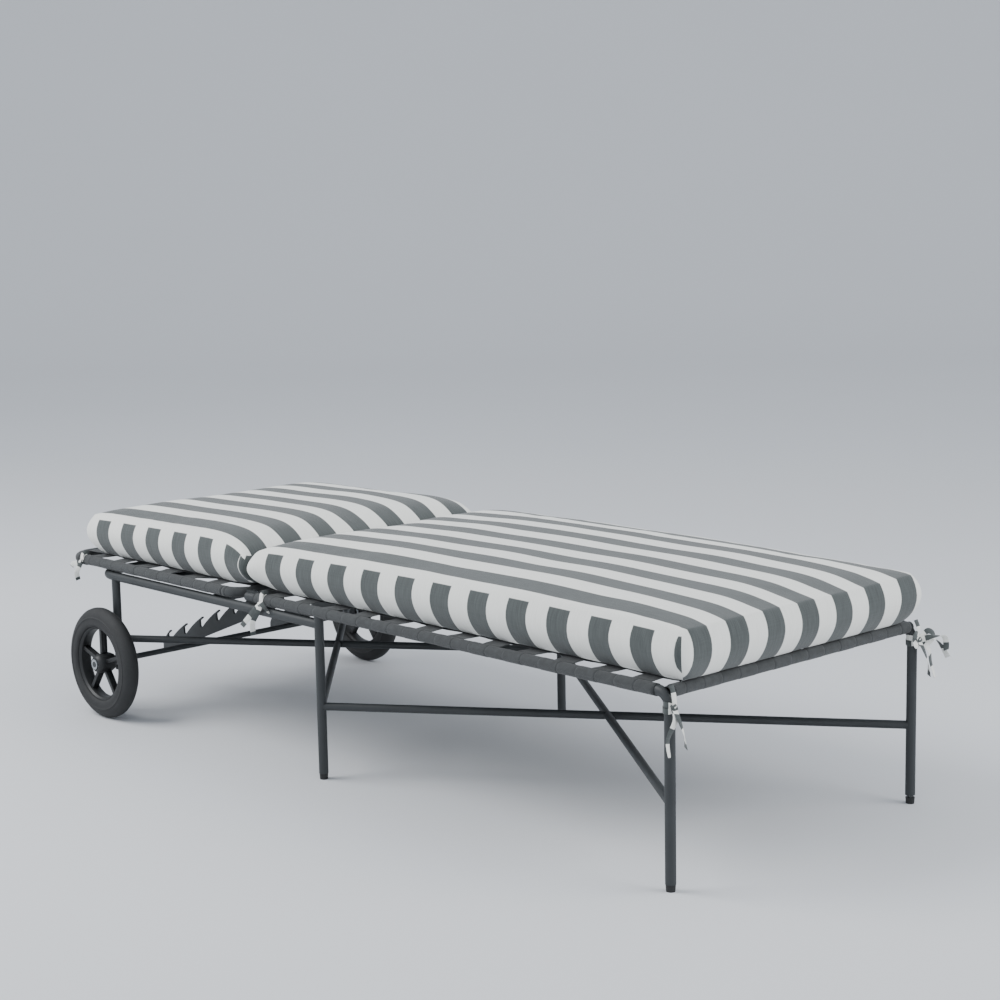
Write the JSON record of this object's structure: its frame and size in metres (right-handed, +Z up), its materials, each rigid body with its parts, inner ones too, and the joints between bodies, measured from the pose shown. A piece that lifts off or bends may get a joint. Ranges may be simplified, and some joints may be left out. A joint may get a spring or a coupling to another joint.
{
  "type": "reclining sun lounger",
  "caption": "Low sun lounger: webbed tube frame with a tilting backrest, toothed prop racks, wheels at the head end, screw feet and a striped two-part mattress.",
  "frame": {"origin": "on the ground under the middle of the overall box", "axes": "+X to the foot end, +Y to the far side, +Z up"},
  "size_m": [1.905, 0.8028, 0.4558],
  "materials": {
    "frame_paint": "satin black-grey powder coat",
    "webbing": "black woven webbing",
    "striped_canvas": "charcoal and warm white striped woven canvas",
    "ribbon": "charcoal and white ribbon",
    "tyre": "matt black rubber",
    "rim_plastic": "black moulded plastic",
    "nylon": "black nylon",
    "foot_plastic": "black moulded plastic",
    "zinc_plate": "bright zinc plate"
  },
  "bodies": {
    "frame": {"axle": "frame_paint", "axle_rings": "zinc_plate", "axle_washers": "zinc_plate", "base_rail": "frame_paint", "foot_rail": "frame_paint", "front_stretcher": "frame_paint", "front_stretcher_halves": "frame_paint", "head_leg_far": "frame_paint", "head_leg_near": "frame_paint", "hinge_brackets": "frame_paint", "hinge_pins": "zinc_plate", "leg_inserts": "foot_plastic", "mid_leg_far": "frame_paint", "mid_leg_near": "frame_paint", "rack_far": "frame_paint", "rack_near": "frame_paint", "rack_tube": "frame_paint", "rear_stretcher": "frame_paint", "rear_stretcher_halves": "frame_paint", "seat_cross_straps": "webbing", "seat_cushion": "striped_canvas", "seat_cushion_end": "striped_canvas", "seat_end_wraps": "webbing", "seat_head_rail": "frame_paint", "seat_long_straps": "webbing", "seat_side_wraps": "webbing", "seat_ties": "ribbon", "side_rail_far": "frame_paint", "side_rail_near": "frame_paint", "tube_plugs": "foot_plastic"},
    "backrest": {"back_cross_straps": "webbing", "back_cushion": "striped_canvas", "back_cushion_end": "striped_canvas", "back_foot_rail": "frame_paint", "back_foot_wrap": "webbing", "back_head_rail": "frame_paint", "back_head_wrap": "webbing", "back_long_straps": "webbing", "back_lugs": "frame_paint", "back_rail_far": "frame_paint", "back_rail_near": "frame_paint", "back_side_wraps": "webbing", "back_ties": "ribbon", "prop_cheeks": "frame_paint", "prop_pins": "zinc_plate", "prop_tube": "frame_paint"},
    "prop": {"prop_arm_far": "frame_paint", "prop_arm_near": "frame_paint", "prop_rod": "frame_paint"},
    "wheel_near": {"rim_near": "rim_plastic", "tyre_near": "tyre", "wheel_bush_near": "nylon"},
    "wheel_far": {"rim_far": "rim_plastic", "tyre_far": "tyre", "wheel_bush_far": "nylon"},
    "foot_near_front_screw": {"foot_near_front": "foot_plastic"},
    "foot_far_front_screw": {"foot_far_front": "foot_plastic"},
    "foot_near_middle_screw": {"foot_near_middle": "foot_plastic"},
    "foot_far_middle_screw": {"foot_far_middle": "foot_plastic"}
  },
  "joints": [
    {"name": "back_recline", "type": "hinge", "parent": "frame", "child": "backrest", "pos_m": [-0.2655, 0, 0.34], "axis": [0, 1, 0], "range_deg": [0, 60], "deforming": ["seat_cushion_end", "back_cushion_end"]},
    {"name": "prop_swing", "type": "hinge", "parent": "backrest", "child": "prop", "pos_m": [-0.5655, 0, 0.315], "axis": [0, 1, 0], "range_deg": [-136.5, 0]},
    {"name": "wheel_near_spin", "type": "hinge", "parent": "frame", "child": "wheel_near", "pos_m": [-0.7615, -0.3745, 0.125], "axis": [0, 1, 0], "continuous": true},
    {"name": "wheel_far_spin", "type": "hinge", "parent": "frame", "child": "wheel_far", "pos_m": [-0.7615, 0.3745, 0.125], "axis": [0, 1, 0], "continuous": true},
    {"name": "foot_near_front_level", "type": "slide", "parent": "frame", "child": "foot_near_front_screw", "axis": [0, 0, -1], "range_m": [0, 0.006]},
    {"name": "foot_far_front_level", "type": "slide", "parent": "frame", "child": "foot_far_front_screw", "axis": [0, 0, -1], "range_m": [0, 0.006]},
    {"name": "foot_near_middle_level", "type": "slide", "parent": "frame", "child": "foot_near_middle_screw", "axis": [0, 0, -1], "range_m": [0, 0.006]},
    {"name": "foot_far_middle_level", "type": "slide", "parent": "frame", "child": "foot_far_middle_screw", "axis": [0, 0, -1], "range_m": [0, 0.006]}
  ],
  "couplings": [
    {"joint": "prop_swing", "follows": "back_recline", "ratio": -2.275}
  ]
}
